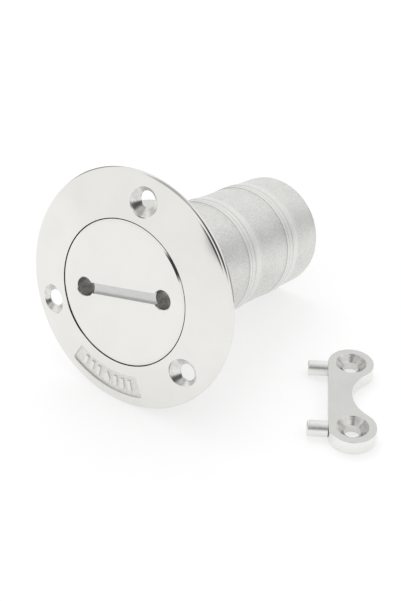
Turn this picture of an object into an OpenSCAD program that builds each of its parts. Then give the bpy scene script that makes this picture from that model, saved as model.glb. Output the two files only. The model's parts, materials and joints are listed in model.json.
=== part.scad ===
// Deck fill cap: flanged filler neck with a hose spigot, screwed cap on a
// retaining chain, and the loose two-pin key plate that turns the cap.
// Modules are written in the deck frame: +Z out of the deck, seat plane at
// Z = 0, neck axis on Z. at_rest() lays the neck down on the flange rim and
// the end of the spigot, the way it rests on a flat floor.

/* [Flange] */
// outside diameter of the flange
flange_d = 95; // [85:1:110]
// height of the cap face above the seat plane
face_height = 4.4; // [4:0.1:6]
// radius of the shallow dome of the flange face
dome_r = 205; // [180:5:260]
// radius of the rounded flange edge
edge_r = 2.4; // [1.6:0.1:2.6]
// pitch circle diameter of the three deck screws
screw_pcd = 76.3; // [74:0.1:78]
// clearance hole for an M6 countersunk deck screw
screw_hole_d = 6.6; // [5:0.1:7]
// countersink diameter at the flange face
csk_d = 12.4; // [10:0.1:12.6]
// half of the countersink angle
csk_half = 50; // [45:1:52]
// angle of the first deck screw
screw_angle = 84.2; // [70:0.1:100]

/* [Sign pocket] */
// inner radius of the sunk pocket
pocket_r0 = 33.4; // [32:0.1:34.5]
// outer radius of the sunk pocket
pocket_r1 = 42.9; // [40:0.1:43]
// angle at the middle of the pocket
pocket_angle = 263.4; // [258:0.1:270]
// half of the angle the pocket spans
pocket_half = 24.4; // [20:0.1:26]
// depth of the pocket below the dome
pocket_depth = 0.6; // [0.5:0.1:1]
// corner radius of the pocket
pocket_corner = 1.2; // [0.8:0.1:2]
// height of the raised fuel-drop sign above the pocket floor
sign_height = 0.4; // [0.2:0.1:0.5]

/* [Neck] */
// outside diameter of the plain spigot
spigot_d = 48.6; // [46:0.1:50]
// bore of the spigot
bore_d = 42.6; // [38:0.1:43]
// distance from the seat plane to the open end of the spigot
neck_length = 101.5; // [96:0.5:120]
// height of the hose ridges above the spigot
ridge_height = 0.4; // [0.3:0.05:1]
// start of the first group of hose ridges below the seat plane
ridge_start_1 = 46.4; // [44:0.1:50]
// start of the second group of hose ridges below the seat plane
ridge_start_2 = 75.8; // [72:0.1:80]
// outside diameter of the threaded boss behind the flange
boss_d = 62; // [61:0.1:62]
// depth of the threaded boss below the seat plane
boss_depth = 19; // [18.5:0.1:20]
// height of the step that lets the boss into the flange plate
spigot_root = 1.2; // [0.8:0.1:1.5]

/* [Cap] */
// outside diameter of the cap head
cap_d = 57.1; // [56:0.1:58]
// radial gap between the cap head and the flange recess
cap_gap = 0.45; // [0.3:0.05:0.5]
// thickness of the cap head
cap_head = 8.2; // [8:0.1:9]
// depth of the cap skirt below the head
skirt_length = 12.6; // [11:0.1:12.8]
// outside diameter of the cap skirt
skirt_d = 50; // [49:0.1:51]
// radial fit between skirt and boss
skirt_fit = 0.1; // [0.05:0.01:0.1]
// inside diameter of the cap skirt
skirt_bore_d = 42; // [40:0.5:43]
// distance between the two key holes
key_hole_spacing = 36.8; // [35:0.1:37]
// diameter of a key hole
key_hole_d = 7.5; // [7:0.1:8]
// depth of a key hole
key_hole_depth = 6; // [5:0.1:6]
// width of the slot between the key holes
slot_w = 4.3; // [3.5:0.1:5]
// depth of the slot
slot_depth = 1.5; // [1:0.1:2.5]
// angle of the slot in the closed cap
cap_angle = 11.8; // [0:0.1:30]
// section diameter of the O-ring under the cap head
seal_section_d = 2.4; // [2.2:0.1:2.6]

/* [Chain] */
// wire diameter of a chain link
wire_d = 2; // [1.8:0.1:2]
// outside width of a chain link
link_w = 7.6; // [7.4:0.1:8]
// inside length of a chain link
link_in = 9.6; // [9.4:0.1:9.8]
// number of whole turns that free the cap
cap_turns = 3; // [1:1:3]
// rise of the cap in one turn
thread_lead = 1.5; // [1:0.5:1.5]
// diameter of the cross bar the chain hangs on
bar_d = 2.6; // [2:0.1:2.8]

/* [Key plate] */
// distance between the two screw holes of the key plate
key_screw_spacing = 38.6; // [38:0.1:40]
// outside radius of the two lobes
lobe_r = 9.2; // [9:0.1:9.6]
// width of the plate at the waist
key_waist = 9.4; // [8.8:0.1:10]
// thickness of the key plate
key_thick = 5.6; // [5.2:0.1:6]
// diameter of the drive pins
key_pin_d = 6.2; // [6:0.1:6.6]
// length of a drive pin outside the plate
key_pin_out = 8; // [6:0.1:9]
// length of a drive pin inside the plate
key_pin_in = 4; // [3:0.1:4.5]

/* [Hidden] */
$fn = 96;
flange_r = flange_d / 2;
recess_r = cap_d / 2 + cap_gap;
recess_z = face_height - cap_head - 0.02;
dome_z = face_height - sqrt(dome_r * dome_r - recess_r * recess_r);
edge_drop = min(0, edge_centre_z(flange_r - edge_r));
edge_c = flange_r - sqrt(edge_r * edge_r - edge_drop * edge_drop);
edge_z = edge_centre_z(edge_c);
csk_top = dome_z + sqrt(dome_r * dome_r - screw_pcd * screw_pcd / 4);
rest_tilt = atan((flange_r - spigot_d / 2) / neck_length);
floor_z = -flange_r * cos(rest_tilt);
skirt_z = recess_z - skirt_length;
shoulder_z = skirt_z - 1;
web_z = face_height - cap_head;
seal_ring_r = skirt_d / 2 + 1.55;
gland_depth = seal_section_d + 0.1;
link_gap = 0.3;
link_pitch = link_in - link_gap;
shackle_z = web_z - 13.6;
chain_top = shackle_z + cap_turns * thread_lead + wire_d + link_gap;
bar_z = chain_top - wire_d - link_in - 7 * link_pitch + wire_d / 2 + bar_d / 2 + link_gap;
key_u = 68.9;
key_v = 35.5;
key_turn = 30.5;
key_arc_r = (key_screw_spacing * key_screw_spacing / 4 + (key_waist - lobe_r)
            * (key_waist - lobe_r) - lobe_r * lobe_r)
            / (2 * (2 * lobe_r - key_waist));
key_arc_c = key_waist + key_arc_r;
key_mid = key_pin_d / 2;

module at_rest() {
    rotate([90 - rest_tilt, 0, 0]) children();
}

module on_floor() {
    translate([key_u, key_v, floor_z]) rotate([0, 0, key_turn]) children();
}

// cone that measures csk_d at the given height
module countersink(top) {
    deep = csk_d / 2 / tan(csk_half);
    translate([0, 0, top - deep])
        cylinder(r1 = 0, r2 = csk_d, h = 2 * deep);
}

// outline of the pocket with rounded corners, seen along the neck axis
module sector(r0, r1, half) {
    intersection() {
        difference() {
            circle(r = r1);
            circle(r = r0);
        }
        polygon([[0, 0], [90 * cos(half), -90 * sin(half)],
                 [90 * cos(half), 90 * sin(half)]]);
    }
}

module pocket_outline() {
    inner_step = pocket_corner / pocket_r0 * 180 / PI;
    outer_step = pocket_corner / pocket_r1 * 180 / PI;
    rotate(pocket_angle) {
        sector(pocket_r0 + pocket_corner, pocket_r1 - pocket_corner, pocket_half);
        sector(pocket_r0, pocket_r1, pocket_half - inner_step);
        for (s = [-1, 1]) {
            rotate(s * (pocket_half - inner_step))
                translate([pocket_r0 + pocket_corner, 0]) circle(r = pocket_corner);
            rotate(s * (pocket_half - outer_step))
                translate([pocket_r1 - pocket_corner, 0]) circle(r = pocket_corner);
        }
    }
}

// generic sign: one fuel drop with three bars on each side
module sign_outline() {
    mid_r = (pocket_r0 + pocket_r1) / 2;
    rotate(pocket_angle) {
        translate([mid_r + 0.7, 0]) circle(r = 1.6);
        translate([mid_r + 0.7, 0]) polygon([[-0.8, -1.386], [-0.8, 1.386], [-3.2, 0]]);
        for (s = [-1, 1], k = [0 : 2])
            rotate(s * (6.5 + 5.2 * k))
                translate([mid_r - 2.2, -0.75]) square([4.4, 1.5]);
    }
}

// height of the dome at radius r
function dome_at(r) = dome_z + sqrt(dome_r * dome_r - r * r);

// height of the centre of an edge_r rounding that meets the dome at radius r
function edge_centre_z(r) = dome_z + sqrt((dome_r - edge_r) * (dome_r - edge_r) - r * r);

// band between two surfaces parallel to the flange face under the pocket
module cone_band(low, high) {
    r0 = pocket_r0 - 1.5;
    r1 = pocket_r1 + 1.5;
    rotate_extrude() polygon([[r0, dome_at(r0) + low], [r1, dome_at(r1) + low],
                              [r1, dome_at(r1) + high], [r0, dome_at(r0) + high]]);
}

module hose_ridges(start) {
    r = spigot_d / 2;
    h = ridge_height;
    rotate_extrude()
        polygon([[r - 1, -start], [r, -start], [r + h - 0.15, -start - 0.4],
                 [r + h - 0.15, -start - 1.7], [r + 0.1, -start - 1.95],
                 [r + h - 0.15, -start - 2.2], [r + h - 0.15, -start - 4.2],
                 [r + 0.1, -start - 4.45], [r + h, -start - 4.9], [r + h, -start - 7.4],
                 [r + h / 2, -start - 8.6], [r, -start - 10.4], [r - 1, -start - 10.4]]);
}

// flange turned from a row of narrow cones that follow the dome, then the
// rounded edge
module flange_blank() {
    steps = 16;
    from_r = recess_r - 1;
    face = [for (k = [0 : steps]) let (r = from_r + (edge_c - from_r) * k / steps) [r, dome_at(r)]];
    first = 90 - asin(edge_c / (dome_r - edge_r));
    last = edge_z < 0 ? asin(-edge_z / edge_r) : 0;
    edge = [for (k = [1 : 8]) let (a = first + (last - first) * k / 9)
            [edge_c + edge_r * cos(a), edge_z + edge_r * sin(a)]];
    rotate_extrude()
        polygon(concat([[0, 0], [0, dome_at(from_r)]], face, edge, [[flange_r, 0]]));
}

module neck_blank() {
    translate([0, 0, -boss_depth]) cylinder(d = boss_d, h = boss_depth + spigot_root - 0.02);
    translate([0, 0, -boss_depth - (boss_d - spigot_d) / 2])
        cylinder(d1 = spigot_d, d2 = boss_d, h = (boss_d - spigot_d) / 2);
    translate([0, 0, 1 - neck_length]) cylinder(d = spigot_d, h = neck_length - 10);
    translate([0, 0, -neck_length]) cylinder(d1 = spigot_d - 1.6, d2 = spigot_d, h = 1);
    hose_ridges(ridge_start_1);
    hose_ridges(ridge_start_2);
}

// space taken out of flange and neck alike by the cap head
module head_recess() {
    translate([0, 0, recess_z]) cylinder(r = recess_r, h = 20);
    translate([0, 0, face_height - 0.15]) cylinder(r1 = recess_r, r2 = recess_r + 0.3, h = 0.3);
}

// polished plate: everything above the seat plane
module deck_flange() {
    color([0.86, 0.86, 0.85]) difference() {
        union() {
            difference() {
                flange_blank();
                intersection() {
                    linear_extrude(20) pocket_outline();
                    cone_band(-pocket_depth, 30);
                }
            }
            intersection() {
                linear_extrude(20) sign_outline();
                cone_band(-3, sign_height - pocket_depth);
            }
        }
        head_recess();
        translate([0, 0, -1]) cylinder(r = boss_d / 2 + 0.03, h = 1 + spigot_root);
        for (k = [0 : 2]) rotate([0, 0, screw_angle + 120 * k])
            translate([screw_pcd / 2, 0, 0]) {
                translate([0, 0, -1]) cylinder(d = screw_hole_d, h = 20);
                countersink(csk_top);
            }
    }
}

// boss, cone and ridged spigot: everything below the seat plane
module filler_neck() {
    color([0.7, 0.7, 0.69]) difference() {
        neck_blank();
        head_recess();
        translate([0, 0, shoulder_z]) cylinder(r = skirt_d / 2 + skirt_fit, h = 30);
        translate([0, 0, -neck_length - 5]) cylinder(d = bore_d, h = neck_length);
        translate([0, 0, -neck_length - 0.01]) cylinder(d1 = bore_d + 1.2, d2 = bore_d, h = 0.6);
        translate([0, 0, bar_z]) rotate([90, 0, 0])
            cylinder(d = bar_d + 0.06, h = bore_d + 3, center = true);
    }
}

module cap() {
    color([0.86, 0.86, 0.85]) difference() {
        union() {
            translate([0, 0, web_z]) cylinder(d = cap_d, h = cap_head - 0.3);
            translate([0, 0, face_height - 0.3]) cylinder(d1 = cap_d, d2 = cap_d - 1.8, h = 0.3);
            translate([0, 0, skirt_z + 0.8]) cylinder(d = skirt_d, h = skirt_length);
            translate([0, 0, skirt_z]) cylinder(d1 = skirt_d - 1.6, d2 = skirt_d, h = 0.8);
        }
        translate([0, 0, skirt_z - 1]) cylinder(d = skirt_bore_d, h = skirt_length + 1.02);
        // gland for the O-ring under the head
        translate([0, 0, web_z - 1]) difference() {
            cylinder(r = seal_ring_r + seal_section_d / 2 + 0.05, h = gland_depth + 1);
            translate([0, 0, -1]) cylinder(d = skirt_d, h = 6);
        }
        for (s = [-1, 1]) rotate([0, 0, cap_angle])
            translate([s * key_hole_spacing / 2, 0, face_height - key_hole_depth]) {
                cylinder(d = key_hole_d, h = 10);
                translate([0, 0, key_hole_depth - 0.3])
                    cylinder(d1 = key_hole_d, d2 = key_hole_d + 1.2, h = 0.6);
            }
        rotate([0, 0, cap_angle])
            translate([-key_hole_spacing / 2, -slot_w / 2, face_height - slot_depth])
                cube([key_hole_spacing, slot_w, 5]);
        translate([0, 0, web_z - 1]) cylinder(r = 2.05, h = 5.5);
    }
}

module cap_seal() {
    color([0.1, 0.1, 0.1]) translate([0, 0, web_z + gland_depth - seal_section_d / 2 - 0.05])
        rotate_extrude() translate([seal_ring_r, 0]) circle(d = seal_section_d);
}

// shouldered stud pressed into the cap web, head under the shackle bar
module swivel_stud() {
    color([0.75, 0.75, 0.74]) {
        translate([0, 0, web_z - 3.4]) cylinder(r = 2, h = 7.6);
        translate([0, 0, web_z - 4.8]) cylinder(r1 = 2.2, r2 = 2.75, h = 1.4);
    }
}

module swivel_washer() {
    color([0.7, 0.7, 0.7]) translate([0, 0, web_z - 0.85]) difference() {
        cylinder(r = 4.2, h = 0.8);
        translate([0, 0, -1]) cylinder(r = 2.05, h = 3);
    }
}

// long shackle turning on the stud; the first link slides along its legs
module swivel_shackle() {
    half = 4.1;
    top = web_z - 1;
    color([0.72, 0.72, 0.71]) {
        difference() {
            translate([0, 0, top - 2.3]) cylinder(r = half + wire_d / 2 + 0.3, h = 2.2);
            translate([0, 0, top - 4]) cylinder(r = 2.06, h = 5);
        }
        for (s = [-1, 1]) translate([s * half, 0, shackle_z + half])
            cylinder(d = wire_d, h = top - 1.2 - shackle_z - half);
        translate([0, 0, shackle_z + half]) rotate([90, 0, 0]) rotate([0, 0, 180])
            rotate_extrude(angle = 180) translate([half, 0]) circle(d = wire_d);
    }
}

// one link along its own Z, centre at the origin
module link() {
    r = link_w / 2 - wire_d / 2;
    straight = link_in / 2 + wire_d / 2 - r;
    color([0.78, 0.78, 0.77]) {
        for (s = [-1, 1]) {
            translate([s * r, 0, -straight]) cylinder(d = wire_d, h = 2 * straight);
            translate([0, 0, s * straight]) rotate([90, 0, 0]) rotate([0, 0, s > 0 ? 0 : 180])
                rotate_extrude(angle = 180) translate([r, 0]) circle(d = wire_d);
        }
    }
}

// link k of the chain, counted from the shackle, every second one turned
module chain_link(k) {
    translate([0, 0, chain_top - link_in / 2 - wire_d / 2 - k * link_pitch])
        rotate([0, 0, k % 2 == 0 ? 90 : 0]) link();
}

// bar sprung into two blind holes in the bore, holding the last link
module cross_bar() {
    color([0.7, 0.7, 0.69]) translate([0, 0, bar_z]) rotate([90, 0, 0])
        cylinder(d = bar_d, h = bore_d + 2.8, center = true);
}

module key_outline() {
    s = key_screw_spacing / 2;
    ty = s * key_arc_r / (key_arc_r + lobe_r);
    tx = key_arc_c - (key_arc_c - lobe_r) * key_arc_r / (key_arc_r + lobe_r);
    for (q = [-1, 1]) translate([lobe_r, q * s]) circle(r = lobe_r);
    translate([0, -s]) square([lobe_r, 2 * s]);
    difference() {
        translate([0, -ty]) square([tx, 2 * ty]);
        translate([key_arc_c, 0]) circle(r = key_arc_r);
    }
}

module key_plate() {
    s = key_screw_spacing / 2;
    color([0.84, 0.84, 0.83]) difference() {
        translate([0, 0, key_mid - key_thick / 2]) linear_extrude(key_thick) key_outline();
        for (q = [-1, 1]) translate([lobe_r, q * s, 0]) {
            translate([0, 0, -1]) cylinder(d = screw_hole_d, h = 20);
            countersink(key_mid + key_thick / 2);
        }
        for (q = [-1, 1]) translate([-1, q * key_hole_spacing / 2, key_mid])
            rotate([0, 90, 0]) cylinder(r = 2.02, h = key_pin_in + 1);
    }
}

module key_pin(q) {
    color([0.8, 0.8, 0.79]) translate([0, q * key_hole_spacing / 2, key_mid]) rotate([0, 90, 0]) {
        translate([0, 0, -1]) cylinder(r = 2, h = key_pin_in + 0.95);
        translate([0, 0, -key_pin_out + 0.4]) cylinder(d = key_pin_d, h = key_pin_out - 0.42);
        translate([0, 0, -key_pin_out])
            cylinder(d1 = key_pin_d - 0.8, d2 = key_pin_d, h = 0.4);
    }
}

at_rest() deck_flange();
at_rest() filler_neck();
at_rest() cap();
at_rest() cap_seal();
at_rest() swivel_stud();
at_rest() swivel_washer();
at_rest() swivel_shackle();
at_rest() chain_link(0);  // chain_link_01
at_rest() chain_link(1);  // chain_link_02
at_rest() chain_link(2);  // chain_link_03
at_rest() chain_link(3);  // chain_link_04
at_rest() chain_link(4);  // chain_link_05
at_rest() chain_link(5);  // chain_link_06
at_rest() chain_link(6);  // chain_link_07
at_rest() chain_link(7);  // chain_link_08
at_rest() cross_bar();
on_floor() key_plate();
on_floor() key_pin(1);  // key_pin_far
on_floor() key_pin(-1);  // key_pin_near
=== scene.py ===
"""Looks for the deck fill cap: polished flange and cap, blasted neck, loose key plate.

Everything is in metres in the row frame. The neck leans back along +Y, the cap
faces -Y, and the floor is under the lowest point of the model. Shapes are drawn
in millimetres in the deck frame (+Z out of the deck) or the key's own frame.
"""

import json
import math

import bmesh
import bpy
from mathutils import Matrix, Vector


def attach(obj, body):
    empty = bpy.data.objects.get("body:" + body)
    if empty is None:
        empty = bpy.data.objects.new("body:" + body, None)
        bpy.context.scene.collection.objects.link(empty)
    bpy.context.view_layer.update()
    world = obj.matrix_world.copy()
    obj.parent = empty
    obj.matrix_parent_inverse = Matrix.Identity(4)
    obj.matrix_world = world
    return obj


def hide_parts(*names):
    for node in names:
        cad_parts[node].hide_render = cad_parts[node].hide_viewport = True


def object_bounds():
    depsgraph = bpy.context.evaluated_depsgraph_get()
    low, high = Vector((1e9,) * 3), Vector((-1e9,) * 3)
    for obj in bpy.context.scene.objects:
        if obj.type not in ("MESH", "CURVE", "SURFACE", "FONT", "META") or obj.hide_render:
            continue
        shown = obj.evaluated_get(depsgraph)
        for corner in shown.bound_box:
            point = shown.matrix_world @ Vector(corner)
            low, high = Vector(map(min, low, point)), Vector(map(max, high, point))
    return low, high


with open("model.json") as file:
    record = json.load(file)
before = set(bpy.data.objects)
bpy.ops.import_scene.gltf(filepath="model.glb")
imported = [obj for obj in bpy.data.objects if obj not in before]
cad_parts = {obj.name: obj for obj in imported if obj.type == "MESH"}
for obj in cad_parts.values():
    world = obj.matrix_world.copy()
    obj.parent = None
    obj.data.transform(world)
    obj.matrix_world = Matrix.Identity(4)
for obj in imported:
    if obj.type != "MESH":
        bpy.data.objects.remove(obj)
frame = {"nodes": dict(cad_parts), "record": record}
cad_low, cad_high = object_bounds()
nodes = frame["nodes"]
mounts = {m["name"]: m for m in frame["record"]["mounts"]}

MM = 0.001
FLOOR_Z = cad_low.z
DECK_AXIS = Vector(mounts["deck_screws"]["axis"]).normalized()
TILT = math.atan2(DECK_AXIS.z, -DECK_AXIS.y)
DECK = Matrix.Rotation(math.pi / 2 - TILT, 4, "X")
PIN_AXIS = Vector(mounts["drive_pin_far"]["axis"]).normalized()
KEY_TURN = math.atan2(-PIN_AXIS.y, -PIN_AXIS.x)

# flange, as in the CAD source, millimetres
FLANGE_R = 47.5
FACE_HEIGHT = 4.4
DOME_R = 205.0
EDGE_R = 2.4
RECESS_R = 29.0
BOSS_R = 31.03
BOSS_STEP = 1.2
SCREW_R = 38.15
SCREW_ANGLES = tuple(math.radians(84.2 + 120 * k) for k in range(3))
SCREW_HOLE_R = 3.3
CSK_R = 6.2
CSK_HALF = math.radians(50)
POCKET_R = (33.4, 42.9)
POCKET_ANGLE = math.radians(263.4)
POCKET_HALF = math.radians(24.4)
POCKET_DEPTH = 0.6
POCKET_CORNER = 1.2
SIGN_HEIGHT = 0.4
CUT_LOW = -2
CUT_HIGH = 12
DOME_Z = FACE_HEIGHT - math.sqrt(DOME_R ** 2 - RECESS_R ** 2)

# cap and neck, millimetres
CAP_R = 28.55
CAP_ANGLE = math.radians(11.8)
SLOT_DEPTH = 1.5
RIDGE_GROUPS = (-46.4, -75.8)
RIDGE_LENGTH = 10.4
SPIGOT_END = -101.5
SPIGOT_R = 24.3

# key plate, millimetres in its own frame
LOBE_R = 9.2
KEY_SCREW_Y = 19.3
KEY_WAIST = 9.4
KEY_LOW = 0.3
KEY_HIGH = 5.9

# studio
FLOOR_GLOW = 0.61
LIGHT_AT = (-0.7, 0.5, 1.3)
LIGHT_AIM = (0, 0.03, 0)
LIGHT_SIZE = 1.2
LIGHT_POWER = 5
# Direction, full and faded-out angle in degrees, and the strength left inside. They
# are fixed in the row frame, placed for what the object reflects in the photo's
# view. From other sides their reflections fall where they fall.
DARK_ZONES = (((0.48, -0.66, 0.57), 9, 23, 0.08),
              ((0.28, -0.52, 0.81), 5, 15, 0.15),
              ((-0.15, -0.30, 0.94), 6, 28, 0.48),
              ((-0.09, -0.975, 0.20), 4.5, 9, 0.05),
              ((0.66, 0.70, 0.18), 6, 26, 0.30),
              ((0.97, 0.05, 0.22), 10, 28, 0.35),
              ((-0.87, 0.42, 0.28), 10, 26, 0.35))

# camera
CAMERA_AT = (0.22697, -0.26916, 0.24155)
CAMERA_AZIMUTH = 35.77
CAMERA_ELEVATION = 35.05
LENS = 67.52


def dome_at(r):
    """Height of the flange's crowned face."""
    return DOME_Z + math.sqrt(DOME_R ** 2 - r * r)


def edge_centre_z(r):
    """Height of the edge rounding's centre, a radius inside the dome."""
    return DOME_Z + math.sqrt((DOME_R - EDGE_R) ** 2 - r * r)


EDGE_DROP = min(0.0, edge_centre_z(FLANGE_R - EDGE_R))
EDGE_C = FLANGE_R - math.sqrt(EDGE_R ** 2 - EDGE_DROP ** 2)
EDGE_Z = edge_centre_z(EDGE_C)
CSK_TOP = dome_at(SCREW_R)
KEY_ORIGIN = Vector(mounts["key_screws"]["pos_m"])
KEY_ORIGIN = KEY_ORIGIN - Matrix.Rotation(KEY_TURN, 3, "Z") @ Vector((LOBE_R * MM, 0, 0))
KEY_ORIGIN.z = FLOOR_Z
KEY = Matrix.Translation(KEY_ORIGIN) @ Matrix.Rotation(KEY_TURN, 4, "Z")


def screw_centre(angle):
    return Vector((SCREW_R * math.cos(angle), SCREW_R * math.sin(angle), 0))


# ---------------------------------------------------------------- mesh helpers
def solid(name, points, faces):
    """A mesh object from points in millimetres, its faces turned outward."""
    mesh = bpy.data.meshes.new(name)
    mesh.from_pydata([tuple(p) for p in points], [], faces)
    made = bmesh.new()
    made.from_mesh(mesh)
    bmesh.ops.recalc_face_normals(made, faces=made.faces)
    made.to_mesh(mesh)
    made.free()
    piece = bpy.data.objects.new(name, mesh)
    bpy.context.scene.collection.objects.link(piece)
    return piece


def lathe(name, profile, segments, centre=(0, 0, 0)):
    """A closed ring profile of (radius, height) turned about Z. A radius of 0 is a pole."""
    points, rings = [], []
    for r, z in profile:
        count = segments if r > 0 else 1
        rings.append([len(points) + k for k in range(count)])
        for k in range(count):
            turn = 2 * math.pi * k / segments
            points.append((centre[0] + r * math.cos(turn), centre[1] + r * math.sin(turn),
                           centre[2] + z))
    faces = []
    pairs = list(zip(rings, rings[1:]))
    if profile[0][0] > 0:
        pairs.append((rings[-1], rings[0]))
    for a, b in pairs:
        for k in range(segments):
            n = (k + 1) % segments
            corner = [a[k % len(a)], a[n % len(a)], b[n % len(b)], b[k % len(b)]]
            face = list(dict.fromkeys(corner))
            if len(face) > 2:
                faces.append(face)
    return solid(name, points, faces)


def prism(name, outline, low, high):
    n = len(outline)
    points = [(x, y, low) for x, y in outline] + [(x, y, high) for x, y in outline]
    faces = [list(range(n)), list(range(n, 2 * n))]
    faces += [[k, (k + 1) % n, n + (k + 1) % n, n + k] for k in range(n)]
    return solid(name, points, faces)


def combine(piece, tool, operation):
    """Applies one exact boolean to piece and removes the tool."""
    modifier = piece.modifiers.new("cut", "BOOLEAN")
    modifier.operation = operation
    modifier.solver = "EXACT"
    modifier.object = tool
    evaluated = piece.evaluated_get(bpy.context.evaluated_depsgraph_get())
    mesh = bpy.data.meshes.new_from_object(evaluated)
    piece.modifiers.clear()
    piece.data = mesh
    bpy.data.objects.remove(tool, do_unlink=True)


def arc(centre, radius, first, last, steps):
    """Points on an arc, angles in radians."""
    return [(centre[0] + radius * math.cos(first + (last - first) * k / steps),
             centre[1] + radius * math.sin(first + (last - first) * k / steps))
            for k in range(steps + 1)]


def polar(radius, angle):
    return (radius * math.cos(angle), radius * math.sin(angle))


def turned(outline, angle):
    c, s = math.cos(angle), math.sin(angle)
    return [(x * c - y * s, x * s + y * c) for x, y in outline]


def screw_cutter(name, centre, top):
    """Countersunk screw hole with a small worn lip at its mouth."""
    deep = (CSK_R - SCREW_HOLE_R) / math.tan(CSK_HALF)
    lip = 0.12
    profile = [(0, -5), (SCREW_HOLE_R, -5), (SCREW_HOLE_R, top - deep), (CSK_R, top),
               (CSK_R + lip, top + lip / 2), (CSK_R + 3 * lip, top + 4), (0, top + 4)]
    return lathe(name, profile, 96, centre)


def set_normals(piece, rule):
    """Gives each corner the true surface normal that rule works out, in drawing units."""
    mesh = piece.data
    for face in mesh.polygons:
        face.use_smooth = True
    normals = [None] * len(mesh.loops)
    for face in mesh.polygons:
        for corner in face.loop_indices:
            point = mesh.vertices[mesh.loops[corner].vertex_index].co
            normals[corner] = rule(point, face.center, face.normal).normalized()
    mesh.normals_split_custom_set(normals)


def turned_normal(point, centre, normal, axis):
    """Normal of a surface turned about an upright axis, at point on a face."""
    out = Vector((centre.x - axis.x, centre.y - axis.y, 0)).normalized()
    here = Vector((point.x - axis.x, point.y - axis.y, 0)).normalized()
    return here * normal.dot(out) + Vector((0, 0, normal.z))


def place(piece, matrix):
    """Takes a drawing in millimetres to its place in the row frame."""
    piece.data.transform(matrix @ Matrix.Scale(MM, 4))


def finish_piece(piece, rule, matrix, material):
    """Normals while still a drawing, then place and material."""
    set_normals(piece, rule)
    place(piece, matrix)
    piece.data.materials.clear()
    piece.data.materials.append(material)


# ---------------------------------------------------------------- flange plate
def pocket_outline():
    inner, outer = POCKET_R
    c = POCKET_CORNER
    low = POCKET_HALF - c / inner
    high = POCKET_HALF - c / outer
    half = arc((0, 0), outer, 0, high, 24)
    half += arc(polar(outer - c, high), c, high, high + math.pi / 2, 6)
    half += arc(polar(inner + c, low), c, low + math.pi / 2, low + math.pi, 6)
    half += arc((0, 0), inner, low, 0, 24)
    mirrored = [(x, -y) for x, y in reversed(half)]
    return turned(half + mirrored[1:-1], POCKET_ANGLE)


def sign_outlines():
    """Generic sign: one fuel drop with three bars on each side."""
    mid = sum(POCKET_R) / 2
    centre = mid + 0.7
    belly = 1.6
    tip = -3.2
    length, width = 2.2, 0.75
    first, step = 6.5, 5.2
    meet = math.acos(belly / -tip)
    drop = [(centre + tip, 0)] + arc((centre, 0), belly, meet - math.pi, math.pi - meet, 20)
    outlines = [turned(drop, POCKET_ANGLE)]
    bar = [(mid - length, -width), (mid + length, -width), (mid + length, width),
           (mid - length, width)]
    for side in (-1, 1):
        for k in range(3):
            outlines.append(turned(bar, POCKET_ANGLE + side * math.radians(first + step * k)))
    return outlines


def dome_band(name, low, high):
    """Ring between two surfaces parallel to the dome, wider than the pocket."""
    steps = 24
    inner, outer = POCKET_R[0] - 1.5, POCKET_R[1] + 1.4
    radii = [inner + (outer - inner) * k / steps for k in range(steps + 1)]
    profile = [(r, dome_at(r) + low) for r in radii]
    profile += [(r, dome_at(r) + high) for r in reversed(radii)]
    return lathe(name, profile, 288)


def flange_profile():
    worn = 0.1
    start = RECESS_R + 2 * worn
    profile = [(RECESS_R, BOSS_STEP), (RECESS_R, FACE_HEIGHT - worn)]
    profile += [(start + (EDGE_C - start) * k / 32, dome_at(start + (EDGE_C - start) * k / 32))
                for k in range(33)]
    first = math.acos(EDGE_C / (DOME_R - EDGE_R))
    last = math.asin(-EDGE_Z / EDGE_R) if EDGE_Z < 0 else 0.0
    for r, z in arc((EDGE_C, EDGE_Z), EDGE_R, first, last, 24)[1:]:
        profile.append((r, max(z, 0.0)))
    return profile + [(BOSS_R, 0.0), (BOSS_R, BOSS_STEP)]


def flange_normal(point, centre, normal):
    """Dome, rounded edge, flat back, countersinks and bore, told apart by place."""
    r = math.hypot(point.x, point.y)
    depth = dome_at(min(r, FLANGE_R)) - centre.z
    if normal.z > 0.97 and depth < POCKET_DEPTH + 0.1 and r < EDGE_C + 0.01:
        return Vector((point.x, point.y, point.z - DOME_Z))
    if math.hypot(centre.x, centre.y) > EDGE_C and normal.z > 0.01:
        out = Vector((point.x, point.y, 0)).normalized()
        return out * (r - EDGE_C) + Vector((0, 0, point.z - EDGE_Z))
    if normal.z < -0.99:
        return normal
    for angle in SCREW_ANGLES:
        axis = screw_centre(angle)
        if math.hypot(centre.x - axis.x, centre.y - axis.y) < CSK_R + 0.5:
            return turned_normal(point, centre, normal, axis)
    if math.hypot(centre.x, centre.y) < BOSS_R + 0.1:
        return turned_normal(point, centre, normal, Vector((0, 0, 0)))
    return normal


def make_flange(material):
    plate = lathe("flange_plate", flange_profile(), 288)
    pocket = prism("pocket_cutter", pocket_outline(), CUT_LOW, CUT_HIGH)
    combine(pocket, dome_band("pocket_band", -POCKET_DEPTH, 9), "INTERSECT")
    combine(plate, pocket, "DIFFERENCE")
    for outline in sign_outlines():
        mark = prism("sign_mark", outline, CUT_LOW, CUT_HIGH)
        combine(mark, dome_band("sign_band", -1.5, SIGN_HEIGHT - POCKET_DEPTH), "INTERSECT")
        combine(plate, mark, "UNION")
    for angle in SCREW_ANGLES:
        combine(plate, screw_cutter("screw_cutter", screw_centre(angle), CSK_TOP), "DIFFERENCE")
    finish_piece(plate, flange_normal, DECK, material)
    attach(plate, "filler")
    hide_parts("deck_flange")


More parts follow.
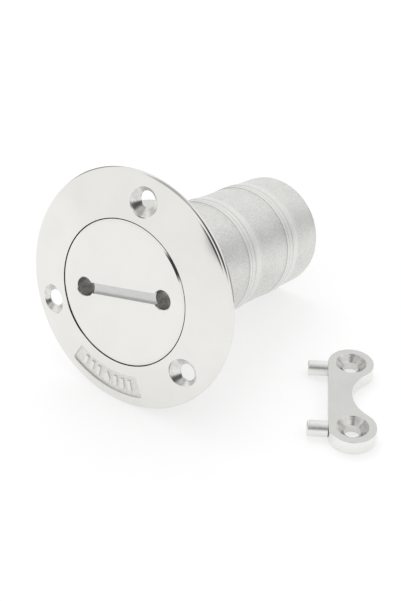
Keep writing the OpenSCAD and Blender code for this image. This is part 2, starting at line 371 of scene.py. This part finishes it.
# ---------------------------------------------------------------- key plate
def key_outline(inset):
    """Outline of the key plate, moved inward by inset."""
    s, waist, lobe = KEY_SCREW_Y, KEY_WAIST, LOBE_R
    notch = (s * s + (waist - lobe) ** 2 - lobe * lobe) / (2 * (2 * lobe - waist))
    centre = waist + notch
    meet = math.atan2(s, centre - lobe)
    upper = [(inset, -s), (inset, s)]
    upper += arc((lobe, s), lobe - inset, math.pi, -meet, 48)[1:]
    upper += arc((centre, 0), notch + inset, math.pi - meet, math.pi + meet, 48)[1:]
    return upper + arc((lobe, -s), lobe - inset, meet, -math.pi, 48)[1:-1]


def layered(name, layers):
    """Closed solid through outlines with equal point counts, bottom to top."""
    points = [(x, y, z) for z, outline in layers for x, y in outline]
    n = len(layers[0][1])
    faces = [list(range(n)), list(range(len(points) - n, len(points)))]
    for k in range(len(layers) - 1):
        for j in range(n):
            a, b = k * n + j, k * n + (j + 1) % n
            faces.append([a, b, b + n, a + n])
    return solid(name, points, faces)


def key_normal(point, centre, normal):
    """Flat faces stay flat, countersinks are round, the outline keeps its facets."""
    if abs(normal.z) > 0.99:
        return normal
    for y in (-KEY_SCREW_Y, KEY_SCREW_Y):
        axis = Vector((LOBE_R, y, 0))
        if math.hypot(centre.x - axis.x, centre.y - axis.y) < CSK_R + 0.5:
            return turned_normal(point, centre, normal, axis)
    return normal


def make_key(material):
    round_r = 0.22
    layers = []
    for k in range(5):
        a = math.pi / 2 * k / 4
        layers.append((KEY_LOW + round_r * (1 - math.sin(a)), round_r * (1 - math.cos(a))))
    layers.reverse()
    top = [(KEY_LOW + KEY_HIGH - z, inset) for z, inset in reversed(layers)]
    drawn = [(z, key_outline(inset)) for z, inset in layers + top]
    plate = layered("key_body", drawn)
    for y in (-KEY_SCREW_Y, KEY_SCREW_Y):
        combine(plate, screw_cutter("key_cutter", Vector((LOBE_R, y, 0)), KEY_HIGH), "DIFFERENCE")
    finish_piece(plate, key_normal, KEY, material)
    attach(plate, "key")
    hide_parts("key_plate")


# ---------------------------------------------------------------- node helpers
class Graph:
    """Short calls for building one material's nodes."""

    def __init__(self, name):
        self.material = bpy.data.materials.new(name)
        self.material.use_nodes = True
        self.tree = self.material.node_tree
        self.shader = self.tree.nodes["Principled BSDF"]

    def node(self, kind, **values):
        made = self.tree.nodes.new(kind)
        for key, value in values.items():
            setattr(made, key, value)
        return made

    def link(self, source, target):
        self.tree.links.new(source, target)

    def feed(self, value, socket):
        if isinstance(value, (int, float)):
            socket.default_value = value
        elif isinstance(value, tuple):
            socket.default_value = (*value, 1.0)[:len(socket.default_value)]
        else:
            self.link(value, socket)

    def math(self, operation, a, b=None):
        made = self.node("ShaderNodeMath", operation=operation)
        for slot, value in enumerate((a, b)):
            if value is not None:
                self.feed(value, made.inputs[slot])
        return made.outputs[0]

    def position(self):
        """Position in the row frame, in millimetres."""
        coord = self.node("ShaderNodeTexCoord").outputs["Object"]
        return self.stretch(coord, (1000, 1000, 1000))

    def deck_position(self):
        """Position in the deck frame, in millimetres, +Z out of the deck."""
        turn = self.node("ShaderNodeMapping", vector_type="POINT")
        turn.inputs["Rotation"].default_value = (TILT - math.pi / 2, 0, 0)
        turn.inputs["Scale"].default_value = (1000, 1000, 1000)
        self.link(self.node("ShaderNodeTexCoord").outputs["Object"], turn.inputs["Vector"])
        return turn.outputs[0]

    def key_position(self):
        """Position in the key plate's own frame, in millimetres."""
        turn = self.node("ShaderNodeMapping", vector_type="TEXTURE")
        turn.inputs["Location"].default_value = KEY_ORIGIN
        turn.inputs["Rotation"].default_value = (0, 0, KEY_TURN)
        turn.inputs["Scale"].default_value = (MM, MM, MM)
        self.link(self.node("ShaderNodeTexCoord").outputs["Object"], turn.inputs["Vector"])
        return turn.outputs[0]

    def split(self, vector):
        made = self.node("ShaderNodeSeparateXYZ")
        self.link(vector, made.inputs[0])
        return made.outputs[0], made.outputs[1], made.outputs[2]

    def radius(self, vector, centre=(0, 0)):
        """Distance from an upright axis through centre."""
        x, y, _ = self.split(vector)
        dx = self.math("SUBTRACT", x, centre[0])
        dy = self.math("SUBTRACT", y, centre[1])
        return self.math("SQRT", self.math("ADD", self.math("MULTIPLY", dx, dx),
                                           self.math("MULTIPLY", dy, dy)))

    def noise(self, vector, scale, detail=4.0, roughness=0.5, distortion=0.0):
        made = self.node("ShaderNodeTexNoise")
        for key, value in (("Scale", scale), ("Detail", detail), ("Roughness", roughness),
                           ("Distortion", distortion)):
            made.inputs[key].default_value = value
        self.link(vector, made.inputs["Vector"])
        return made.outputs["Fac"]

    def stretch(self, vector, scale):
        made = self.node("ShaderNodeMapping")
        made.inputs["Scale"].default_value = scale
        self.link(vector, made.inputs["Vector"])
        return made.outputs[0]

    def range(self, value, low, high, to_low, to_high):
        made = self.node("ShaderNodeMapRange")
        for key, number in (("From Min", low), ("From Max", high),
                            ("To Min", to_low), ("To Max", to_high)):
            made.inputs[key].default_value = number
        self.link(value, made.inputs["Value"])
        return made.outputs["Result"]

    def between(self, value, low, high, soft):
        """1 between low and high, 0 outside, with soft edges."""
        return self.math("MULTIPLY", self.range(value, low - soft, low + soft, 0.0, 1.0),
                         self.range(value, high - soft, high + soft, 1.0, 0.0))

    def mix(self, factor, a, b):
        made = self.node("ShaderNodeMix", data_type="RGBA")
        self.feed(factor, made.inputs["Factor"])
        self.feed(a, made.inputs[6])
        self.feed(b, made.inputs[7])
        return made.outputs[2]

    def blend(self, factor, a, b):
        """Number between a and b."""
        made = self.node("ShaderNodeMix", data_type="FLOAT")
        self.feed(factor, made.inputs["Factor"])
        self.feed(a, made.inputs[2])
        self.feed(b, made.inputs[3])
        return made.outputs[0]

    def bump(self, height, strength, distance, under=None):
        made = self.node("ShaderNodeBump")
        made.inputs["Strength"].default_value = strength
        made.inputs["Distance"].default_value = distance
        self.link(height, made.inputs["Height"])
        if under is not None:
            self.link(under, made.inputs["Normal"])
        return made.outputs["Normal"]

    def steel(self, colour, roughness, normal):
        self.shader.inputs["Metallic"].default_value = 1.0
        self.feed(colour, self.shader.inputs["Base Color"])
        self.feed(roughness, self.shader.inputs["Roughness"])
        self.link(normal, self.shader.inputs["Normal"])
        return self.material


def polish(g, place, light, dark, shine):
    """Colour, roughness and height of a polished face: haze, wipe marks and hairlines."""
    haze = g.noise(place, 0.07, 5, 0.6)
    wipe = g.noise(g.stretch(place, (0.9, 0.14, 0.3)), 1.0, 3, 0.6)
    hair = g.noise(g.stretch(place, (2.6, 0.18, 0.7)), 1.0, 2, 0.5)
    colour = g.mix(g.range(haze, 0.35, 0.65, 0.0, 1.0), dark, light)
    rough = g.math("ADD", g.range(haze, 0.3, 0.7, shine * 0.8, shine * 1.2),
                   g.range(wipe, 0.35, 0.75, 0.0, shine * 0.4))
    return colour, rough, hair


def machined(g, place, away):
    """Colour and height of a turned countersink: fine tool rings, slightly uneven."""
    uneven = g.noise(place, 0.45, 2, 0.5)
    wander = g.math("ADD", away, g.math("MULTIPLY", uneven, 0.6))
    ring = g.math("SINE", g.math("MULTIPLY", wander, 14.0))
    colour = g.mix(g.range(ring, -1.0, 1.0, 0.0, 1.0), (0.66, 0.655, 0.635), (0.84, 0.835, 0.812))
    colour = g.mix(g.range(uneven, 0.42, 0.62, 0.0, 0.5), colour, (0.50, 0.496, 0.48))
    return colour, ring


def nearest_screw(g, deck):
    """Distance from the nearest deck screw's axis."""
    away = [g.radius(deck, screw_centre(angle)) for angle in SCREW_ANGLES]
    return g.math("MINIMUM", away[0], g.math("MINIMUM", away[1], away[2]))


def flange_steel():
    """Polished plate, turned countersinks, matt pocket floor, faced underside."""
    g = Graph("flange_steel")
    deck = g.deck_position()
    _, y, z = g.split(deck)
    r = g.radius(deck)
    dome = g.math("ADD", g.math("SQRT", g.math("SUBTRACT", DOME_R ** 2,
                                               g.math("MULTIPLY", r, r))), DOME_Z)
    depth = g.math("SUBTRACT", dome, z)
    colour, rough, height = polish(g, deck, (0.81, 0.803, 0.775), (0.785, 0.778, 0.752), 0.07)

    pocket = g.math("MULTIPLY", g.between(r, *POCKET_R, 0.1), g.between(depth, 0.3, 0.8, 0.06))
    pocket_side = g.range(y, -28.7, -28.5, 1.0, 0.0)
    pocket = g.math("MULTIPLY", pocket, pocket_side)
    grain = g.noise(deck, 2.4, 3, 0.6)
    cast = g.mix(g.range(grain, 0.35, 0.65, 0.0, 1.0), (0.60, 0.596, 0.58), (0.84, 0.835, 0.815))
    colour = g.mix(pocket, colour, cast)
    rough = g.blend(pocket, rough, 0.34)

    away = nearest_screw(g, deck)
    sink = g.math("MULTIPLY", g.math("LESS_THAN", away, CSK_R + 0.1),
                  g.range(depth, 0.02, 0.08, 0.0, 1.0))
    turned_colour, turned_height = machined(g, deck, away)
    colour = g.mix(sink, colour, turned_colour)
    rough = g.blend(sink, rough, 0.16)

    back = g.range(z, 0.02, 0.06, 1.0, 0.0)
    rings = g.math("SINE", g.math("MULTIPLY", r, 5.0))
    stain = g.range(g.noise(deck, 0.12, 5, 0.6), 0.35, 0.65, 0.0, 1.0)
    faced = g.mix(stain, (0.50, 0.496, 0.48), (0.68, 0.675, 0.655))
    colour = g.mix(back, colour, faced)
    rough = g.blend(back, rough, g.range(stain, 0.0, 1.0, 0.34, 0.22))

    normal = g.bump(height, 0.04, 0.00002)
    normal = g.bump(g.math("MULTIPLY", grain, pocket), 0.5, 0.00018, normal)
    normal = g.bump(g.math("MULTIPLY", turned_height, sink), 0.22, 0.00004, normal)
    normal = g.bump(g.math("MULTIPLY", rings, back), 0.4, 0.00006, normal)
    return g.steel(colour, rough, normal)


def cap_steel():
    """Polished face with faint haze, milled slot floor partly darkened as painted shade, key holes
    darkened as painted shade, plain sides and underside.
    """
    g = Graph("cap_steel")
    deck = g.deck_position()
    z = g.split(deck)[2]
    r = g.radius(deck)
    colour, rough, height = polish(g, deck, (0.81, 0.804, 0.777), (0.787, 0.781, 0.755), 0.065)

    floor = FACE_HEIGHT - SLOT_DEPTH
    head = g.math("LESS_THAN", r, CAP_R - 4.0)
    # Slot floor darker and rougher: partly its milled finish, partly painted shade in the channel.
    slot = g.math("MULTIPLY", head, g.between(z, floor - 0.05, FACE_HEIGHT - 0.2, 0.06))
    milled = g.node("ShaderNodeMapping", vector_type="TEXTURE")
    milled.inputs["Rotation"].default_value = (0, 0, CAP_ANGLE)
    g.link(deck, milled.inputs["Vector"])
    tool = g.noise(g.stretch(milled.outputs[0], (0.25, 3.0, 1.0)), 1.0, 3, 0.6)
    colour = g.mix(slot, colour, g.mix(tool, (0.50, 0.50, 0.49), (0.68, 0.68, 0.67)))
    rough = g.blend(slot, rough, 0.30)

    # Key holes darker: painted shade inside the holes, with a drilled texture.
    hole = g.math("MULTIPLY", head, g.range(z, floor - 0.25, floor - 0.1, 1.0, 0.0))
    drilled = g.noise(g.stretch(deck, (0.6, 0.6, 3.0)), 1.0, 3, 0.6)
    colour = g.mix(hole, colour, g.mix(drilled, (0.46, 0.455, 0.44), (0.70, 0.695, 0.68)))
    rough = g.blend(hole, rough, 0.42)

    side = g.math("MULTIPLY", g.range(r, CAP_R - 0.1, CAP_R - 0.02, 0.0, 1.0),
                  g.range(z, FACE_HEIGHT - 0.4, FACE_HEIGHT - 0.3, 1.0, 0.0))
    under = g.range(z, FACE_HEIGHT - 8.3, FACE_HEIGHT - 8.1, 1.0, 0.0)
    plain = g.math("MAXIMUM", side, under)
    colour = g.mix(plain, colour, (0.80, 0.795, 0.77))
    rough = g.blend(plain, rough, 0.24)
    normal = g.bump(height, 0.04, 0.00002)
    normal = g.bump(g.math("MULTIPLY", tool, slot), 0.4, 0.00008, normal)
    return g.steel(colour, rough, normal)


def blasted_steel():
    """Neck and spigot: glass-bead grain, cloudy shade, turned ridges with painted highlights and
    painted shade in their grooves, cut end, painted shade inside the bore.
    """
    g = Graph("neck_steel")
    deck = g.deck_position()
    z = g.split(deck)[2]
    r = g.radius(deck)
    cloud = g.noise(deck, 0.10, 4, 0.55, 0.4)
    grain = g.noise(deck, 1.25, 5, 0.75)
    fine = g.noise(deck, 4.5, 2, 0.6)
    shade = g.mix(g.range(cloud, 0.35, 0.65, 0.0, 1.0), (0.60, 0.596, 0.577), (0.69, 0.686, 0.665))
    colour = g.mix(g.range(grain, 0.38, 0.60, 0.0, 0.8), shade, (0.83, 0.826, 0.805))
    pits = g.range(g.noise(deck, 1.9, 3, 0.7), 0.30, 0.42, 0.5, 0.0)
    colour = g.mix(pits, colour, (0.44, 0.437, 0.42))
    rough = g.range(grain, 0.2, 0.8, 0.26, 0.40)

    ridge = None
    for start in RIDGE_GROUPS:
        band = g.between(z, start - RIDGE_LENGTH + 2.2, start, 0.15)
        ridge = band if ridge is None else g.math("MAXIMUM", ridge, band)
    # Ridge tops painted lighter: painted highlight.
    ridge_highlight = g.math("MULTIPLY", ridge, g.range(r, SPIGOT_R + 0.12, SPIGOT_R + 0.24, 0.0, 1.0))
    colour = g.mix(g.math("MULTIPLY", ridge_highlight, 0.5), colour, (0.88, 0.876, 0.855))
    # Grooves between the ridges painted darker: painted shade.
    groove_shade = g.math("MULTIPLY", ridge, g.range(r, SPIGOT_R + 0.08, SPIGOT_R + 0.2, 1.0, 0.0))
    groove_shade = g.math("MULTIPLY", groove_shade, g.math("GREATER_THAN", r, SPIGOT_R - 0.5))
    colour = g.mix(g.math("MULTIPLY", groove_shade, 0.5), colour, (0.38, 0.377, 0.365))

    cut = g.range(z, SPIGOT_END + 1.0, SPIGOT_END + 1.2, 1.0, 0.0)
    # The inside of the bore is painted darker: painted shade.
    inner = g.range(r, SPIGOT_R - 2.9, SPIGOT_R - 2.7, 1.0, 0.0)
    colour = g.mix(g.math("MULTIPLY", cut, 0.7), colour, (0.82, 0.82, 0.81))
    colour = g.mix(g.math("MULTIPLY", inner, 0.3), colour, (0.46, 0.457, 0.445))
    rough = g.blend(cut, rough, 0.22)
    normal = g.bump(fine, 0.35, 0.00010)
    normal = g.bump(grain, 0.55, 0.00035, normal)
    return g.steel(colour, rough, normal)


def key_steel():
    """Satin-polished plate with turned countersinks and a painted highlight on its side wall."""
    g = Graph("key_steel")
    own = g.key_position()
    z = g.split(own)[2]
    colour, rough, height = polish(g, own, (0.655, 0.651, 0.634), (0.62, 0.616, 0.60), 0.2)
    away = g.math("MINIMUM", g.radius(own, (LOBE_R, KEY_SCREW_Y)),
                  g.radius(own, (LOBE_R, -KEY_SCREW_Y)))
    # The side wall painted lighter than the top: painted highlight.
    edge = g.between(z, KEY_LOW + 0.2, KEY_HIGH - 0.04, 0.03)
    colour = g.mix(edge, colour, (0.86, 0.857, 0.84))
    sink = g.math("MULTIPLY", g.math("LESS_THAN", away, CSK_R + 0.1),
                  g.range(z, KEY_HIGH - 0.08, KEY_HIGH - 0.02, 1.0, 0.0))
    turned_colour, turned_height = machined(g, own, away)
    colour = g.mix(sink, colour, turned_colour)
    normal = g.bump(height, 0.06, 0.00002)
    normal = g.bump(g.math("MULTIPLY", turned_height, sink), 0.22, 0.00004, normal)
    return g.steel(colour, rough, normal)


def plain_steel(name, light, dark, shine):
    """Drawn wire, bar and pins: streaks along the row axes and a few dull spots."""
    g = Graph(name)
    place = g.position()
    colour, rough, height = polish(g, place, light, dark, shine)
    spots = g.range(g.noise(place, 0.5, 4, 0.6), 0.62, 0.72, 0.0, 0.5)
    colour = g.mix(spots, colour, tuple(c * 0.6 for c in dark))
    rough = g.math("ADD", rough, g.math("MULTIPLY", spots, 0.2))
    return g.steel(colour, rough, g.bump(height, 0.12, 0.00003))


def rubber():
    """Black nitrile with a faint bloom and dust."""
    g = Graph("seal_rubber")
    dust = g.noise(g.position(), 0.7, 4, 0.6)
    g.feed(g.mix(dust, (0.018, 0.018, 0.018), (0.05, 0.05, 0.048)), g.shader.inputs["Base Color"])
    g.link(g.range(dust, 0.3, 0.7, 0.45, 0.62), g.shader.inputs["Roughness"])
    g.link(g.bump(dust, 0.2, 0.00005), g.shader.inputs["Normal"])
    return g.material


def dress():
    """Materials on the CAD nodes that stay, and the pieces that replace the others."""
    wire = plain_steel("plain_steel", (0.74, 0.74, 0.73), (0.62, 0.62, 0.61), 0.17)
    pins = plain_steel("pin_steel", (0.86, 0.857, 0.84), (0.80, 0.797, 0.78), 0.3)
    choice = {"filler_neck": blasted_steel(), "cap": cap_steel(), "cap_seal": rubber(),
              "key_pin_far": pins, "key_pin_near": pins}
    for name, node in nodes.items():
        node.data.materials.clear()
        node.data.materials.append(choice.get(name, wire))
    make_flange(flange_steel())
    make_key(key_steel())


# ---------------------------------------------------------------- studio
def make_floor():
    """Pale table that glows a little by itself, so that shadows on it stay pale."""
    floor = lathe("floor", [(0, 0), (6000, 0), (6000, -20), (0, -20)], 96)
    place(floor, Matrix.Translation((0, 0, FLOOR_Z)))
    g = Graph("floor_pale")
    tone = g.noise(g.stretch(g.position(), (0.003, 0.003, 0.003)), 1.0, 2, 0.5)
    g.feed(g.mix(tone, (0.44, 0.44, 0.44), (0.45, 0.45, 0.45)), g.shader.inputs["Base Color"])
    g.shader.inputs["Emission Color"].default_value = (1, 1, 1, 1)
    g.shader.inputs["Emission Strength"].default_value = FLOOR_GLOW
    g.shader.inputs["Roughness"].default_value = 0.9
    g.shader.inputs["Specular IOR Level"].default_value = 0.1
    floor.data.materials.append(g.material)


def make_world():
    """White tent with soft-edged dark zones, plain white where the camera sees it directly."""
    world = bpy.data.worlds.new("studio")
    bpy.context.scene.world = world
    world.use_nodes = True
    tree = world.node_tree
    tree.nodes.clear()
    coord = tree.nodes.new("ShaderNodeTexCoord").outputs["Generated"]
    level = None
    for way, inner, outer, depth in DARK_ZONES:
        dot = tree.nodes.new("ShaderNodeVectorMath")
        dot.operation = "DOT_PRODUCT"
        dot.inputs[1].default_value = Vector(way).normalized()
        tree.links.new(coord, dot.inputs[0])
        fade = tree.nodes.new("ShaderNodeMapRange")
        fade.interpolation_type = "SMOOTHSTEP"
        for key, number in (("From Min", math.cos(math.radians(outer))),
                            ("From Max", math.cos(math.radians(inner))),
                            ("To Min", 1.0), ("To Max", depth)):
            fade.inputs[key].default_value = number
        tree.links.new(dot.outputs["Value"], fade.inputs["Value"])
        if level is None:
            level = fade.outputs["Result"]
            continue
        both = tree.nodes.new("ShaderNodeMath")
        both.operation = "MULTIPLY"
        tree.links.new(level, both.inputs[0])
        tree.links.new(fade.outputs["Result"], both.inputs[1])
        level = both.outputs[0]
    tent = tree.nodes.new("ShaderNodeBackground")
    tree.links.new(level, tent.inputs["Strength"])
    plain = tree.nodes.new("ShaderNodeBackground")
    for background in (tent, plain):
        background.inputs["Color"].default_value = (1, 1, 1, 1)
    path = tree.nodes.new("ShaderNodeLightPath")
    choose = tree.nodes.new("ShaderNodeMixShader")
    out = tree.nodes.new("ShaderNodeOutputWorld")
    tree.links.new(path.outputs["Is Camera Ray"], choose.inputs["Fac"])
    tree.links.new(tent.outputs[0], choose.inputs[1])
    tree.links.new(plain.outputs[0], choose.inputs[2])
    tree.links.new(choose.outputs[0], out.inputs["Surface"])


def make_light():
    """One soft light. Reflections leave it out, as its disc would show in the rim."""
    data = bpy.data.lights.new("key_light", "AREA")
    data.shape = "DISK"
    data.size = LIGHT_SIZE
    data.energy = LIGHT_POWER
    light = bpy.data.objects.new("key_light", data)
    bpy.context.scene.collection.objects.link(light)
    light.location = LIGHT_AT
    light.visible_glossy = False
    way = Vector(LIGHT_AIM) - Vector(LIGHT_AT)
    light.rotation_euler = way.to_track_quat("-Z", "Y").to_euler()


def make_camera():
    data = bpy.data.cameras.new("camera")
    camera = bpy.data.objects.new("camera", data)
    bpy.context.scene.collection.objects.link(camera)
    bpy.context.scene.camera = camera
    camera.location = CAMERA_AT
    camera.rotation_euler = (math.radians(90 - CAMERA_ELEVATION), 0,
                             math.radians(CAMERA_AZIMUTH))
    data.lens = LENS
    data.sensor_width = 36.0
    data.clip_start = 0.01
    data.clip_end = 50.0


dress()
make_floor()
make_world()
make_light()
make_camera()
bpy.context.scene.view_settings.view_transform = "Standard"
